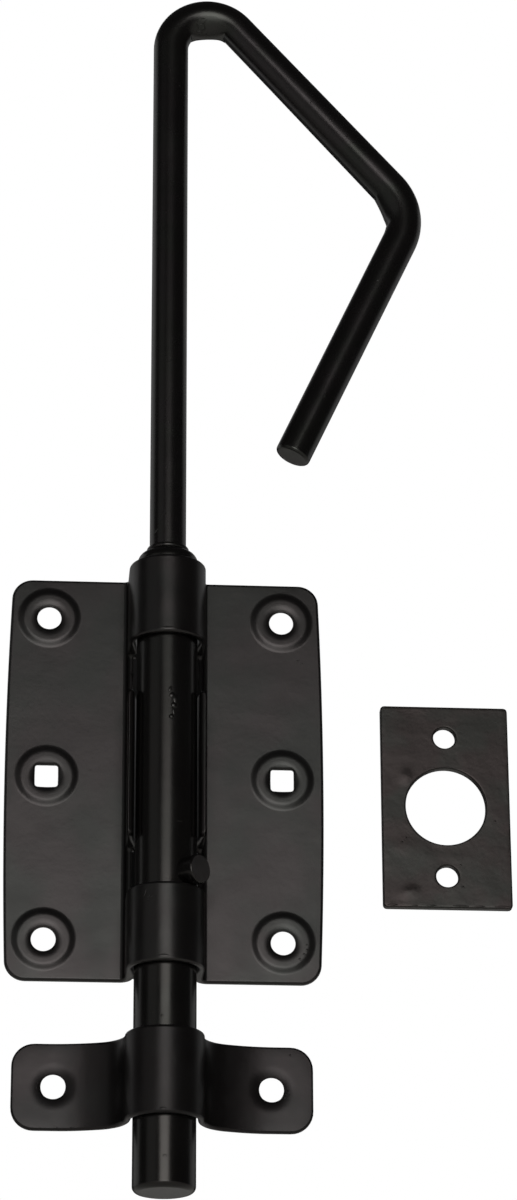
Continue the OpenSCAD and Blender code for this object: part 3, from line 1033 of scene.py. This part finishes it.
def buildTornLipsAndGapShade():
    # punching tore the notches' inner edges, and paint has rounded the torn metal; each lip also drops back
    # towards the door as painted shade, dark metal that closes the gap beside the bar
    t = tornLips
    piece = pieceFrom(bmesh.new(), "tornLips")
    openMesh(piece)
    for side, low, high, ragged in t["stretches"]:
        center = (side * (t["outer"] - t["wide"] / 2), t["level"], (low + high) / 2)
        bpy.ops.mesh.primitive_grid_add(
            x_subdivisions=t["steps"][0], y_subdivisions=t["steps"][1], size=1.0, location=center,
            rotation=(math.pi / 2, 0, 0))
        bpy.ops.transform.resize(value=(t["wide"], 1, high - low), center_override=center)
    closeMesh()

    def tear(p):
        ragged = next(rough for side, low, high, rough in t["stretches"]
                      if side * p.x > 0 and low - slack < p.z < high + slack)
        inward = (t["outer"] - abs(p.x)) / t["wide"]
        (slowX, slowZ), (fastX, fastZ) = t["slowWaves"], t["fastWaves"]
        # the middle number of each place only picks another slice of the noise
        slow = noise.noise(Vector((p.x * slowX, 3.0, p.z * slowZ)))
        fast = noise.noise(Vector((p.x * fastX, 9.0, p.z * fastZ)))
        crest = t["crest"] * math.sin(math.pi * min(1.0, inward / t["crestEnd"]))
        crest *= 1 + t["crestWaver"] * ragged * (slow + fast)
        drop = t["drop"] * max(0.0, inward - t["dropStart"]) / (1 - t["dropStart"])
        shift = ragged * t["sideWaver"] * (slow + fast) * math.sin(math.pi * inward)
        return Vector((p.x + math.copysign(shift, p.x), t["level"] - crest + drop, p.z))

    reshape(piece, tear)
    faceOutwards(piece)
    giveThickness(piece, t["thick"])
    settle(piece, smoothAngle=60)
    putOn(piece, "fixed_parts", "sheet_paint", sheetPaint)
    print("torn lips:", len(piece.data.polygons), "faces")


buildTornLipsAndGapShade()

# nibs, runs and wrinkles in the paint, each found on its piece by looking in from the front:
# x, z, half width, half height, rise out of the surface, and turn to the right in degrees
paintMarks = [
    {"name": "barNibs", "on": "boltBar", "body": "sliding_bar", "slot": "bar_paint",
     "paint": barPaint, "spots": [
        (1.03, 12.5, 0.85, 0.8, 0.5, 0), (1.89, 16.3, 1.1, 1.0, 0.4, 20), (2.38, 18.2, 1.0, 1.6, 0.22, -10),
        (1.16, 19.6, 0.8, 0.9, 0.2, 40), (0.53, 21.5, 0.45, 1.0, 0.2, 15), (1.68, 14.4, 0.5, 1.3, 0.2, -6),
        (3.79, -21.0, 0.8, 0.3, 0.18, -8), (-4.89, -28.6, 0.35, 0.3, 0.12, 0),
        (-3.71, -30.2, 0.3, 0.25, 0.1, 0), (-1.32, -82.2, 0.45, 0.4, 0.12, 30),
        (-4.16, -81.0, 0.35, 0.3, 0.12, 0), (-0.25, -124.5, 0.7, 0.35, 0.06, 0)]},
    {"name": "loopNibs", "on": "backPlate", "body": "fixed_parts", "slot": "sheet_paint",
     "paint": sheetPaint, "spots": [
        (-6.71, -44.5, 0.22, 1.3, 0.12, 25), (-5.22, -46.3, 0.2, 1.2, 0.12, 50),
        (-5.73, -45.8, 0.15, 0.7, 0.09, 45), (-0.38, 40.8, 2.0, 0.5, 0.07, 0),
        (-0.96, -64.4, 1.6, 0.55, 0.1, 4), (41.9, 40.1, 0.9, 0.18, 0.1, -25),
        (43.3, 39.2, 0.25, 0.25, 0.1, 0), (41.8, -58.0, 0.5, 0.35, 0.12, 30),
        (44.0, -55.1, 0.35, 0.6, 0.14, 20), (43.1, -56.4, 0.4, 0.4, 0.14, 0),
        (43.9, -53.4, 0.25, 0.4, 0.1, 0)]},
    {"name": "keepNibs", "on": "keepStrap", "body": "fixed_parts", "slot": "sheet_paint",
     "paint": keepPaint, "spots": [
        (-0.98, -111.0, 1.0, 0.5, 0.09, 0), (-4.1, -95.0, 0.2, 0.2, 0.09, 0),
        (37.2, -99.9, 0.45, 0.5, 0.2, 0), (37.9, -98.9, 0.3, 0.3, 0.14, 0),
        (36.9, -101.0, 0.3, 0.45, 0.14, 20), (38.3, -100.4, 0.25, 0.3, 0.12, 0),
        (-37.9, -98.9, 0.25, 0.7, 0.12, 0), (-37.5, -97.6, 0.2, 0.4, 0.1, 0),
        (-27.1, -111.4, 0.5, 0.25, 0.1, 0), (-31.5, -111.3, 0.3, 0.2, 0.08, 0),
        (-22.8, -110.9, 0.3, 0.2, 0.08, 0), (38.6, -88.0, 0.3, 0.3, 0.1, 0)]},
    {"name": "handleWrinkles", "on": "bowHandle", "body": "turning_handle", "slot": "bar_paint",
     "paint": handlePaint, "spots": [
        (8.7, 260.6, 0.22, 1.1, 0.16, -35), (9.4, 259.4, 0.22, 0.9, 0.16, 60),
        (10.4, 259.6, 0.2, 1.0, 0.16, 10), (11.1, 260.6, 0.22, 1.2, 0.18, -15),
        (11.2, 262.2, 0.2, 0.9, 0.16, 35), (10.3, 263.0, 0.9, 0.2, 0.14, 10),
        (9.4, 262.3, 0.2, 0.8, 0.14, 40), (10.0, 261.3, 0.8, 0.2, 0.14, -25),
        (8.3, 259.2, 0.5, 0.2, 0.14, 30), (11.8, 259.0, 0.2, 0.6, 0.14, 0), (46.4, 231.9, 0.4, 0.4, 0.12, 0),
        (52.7, 225.5, 0.35, 0.35, 0.12, 0), (58.1, 219.2, 0.35, 0.35, 0.12, 0),
        (60.2, 217.0, 0.3, 0.3, 0.1, 0), (67.5, 166.5, 0.5, 0.2, 0.1, 0), (49.9, 124.4, 0.4, 0.3, 0.1, 0),
        (-4.0, 76.4, 0.25, 1.1, 0.14, 40), (2.8, 237.0, 0.3, 0.3, 0.1, 0)]},
    {"name": "strikeBead", "on": "strikePlate", "body": "fixed_parts", "slot": "sheet_paint",
     "paint": strikePaint, "spots": [
        (70.6, -40.15, 1.7, 0.3, 0.16, 1), (77.5, -40.2, 1.0, 0.2, 0.12, 0),
        (82.6, -40.2, 1.6, 0.22, 0.12, 0), (91.8, -40.15, 2.6, 0.26, 0.14, 1),
        (97.6, -40.2, 1.8, 0.24, 0.13, 0), (104.6, -40.15, 2.4, 0.3, 0.16, -2),
        (73.8, -19.8, 0.3, 0.3, 0.12, 0), (75.2, -18.4, 0.2, 0.5, 0.1, 30), (103.2, -12.4, 0.3, 0.3, 0.12, 0),
        (92.5, -33.9, 0.4, 0.3, 0.12, 0), (92.0, -26.9, 0.3, 0.3, 0.1, 0)]},
]

markShape = {
    "segments": 16,
    "rings": 10,
    "lookFrom": -100,  # y in front of every piece, from where the surface is looked for
}


def buildPaintMarks():
    bpy.context.view_layer.update()
    for marks in paintMarks:
        target = bpy.data.objects[marks["on"]]
        made = []
        for x, z, halfWidth, halfHeight, rise, turn in marks["spots"]:
            start = Vector((x, markShape["lookFrom"], z))
            found, place, normal, _ = target.ray_cast(start / perMetre, Vector((0, 1, 0)))
            if not found:
                print("no surface for", marks["name"], x, z)
                continue
            across = normal.cross(Vector((0, 0, 1))).normalized() * -1
            axes = Matrix((across, -normal, across.cross(-normal))).transposed()
            bpy.ops.mesh.primitive_uv_sphere_add(
                segments=markShape["segments"], ring_count=markShape["rings"], radius=1.0,
                location=place * perMetre)
            spot = bpy.context.object
            spot.scale = (halfWidth, rise, halfHeight)
            spot.rotation_euler = (axes @ Matrix.Rotation(math.radians(turn), 3, "Y")).to_euler()
            made.append(spot)
        bpy.ops.object.select_all(action="DESELECT")
        for spot in made:
            spot.select_set(True)
        piece = bpy.context.view_layer.objects.active = made[0]
        bpy.ops.object.join()
        bpy.ops.object.transform_apply(location=True, rotation=True, scale=True)
        piece.name = piece.data.name = marks["name"]
        settle(piece, smoothAngle=80)
        putOn(piece, marks["body"], marks["slot"], marks["paint"])
        print(marks["name"] + ":", len(piece.data.polygons), "faces")


buildPaintMarks()
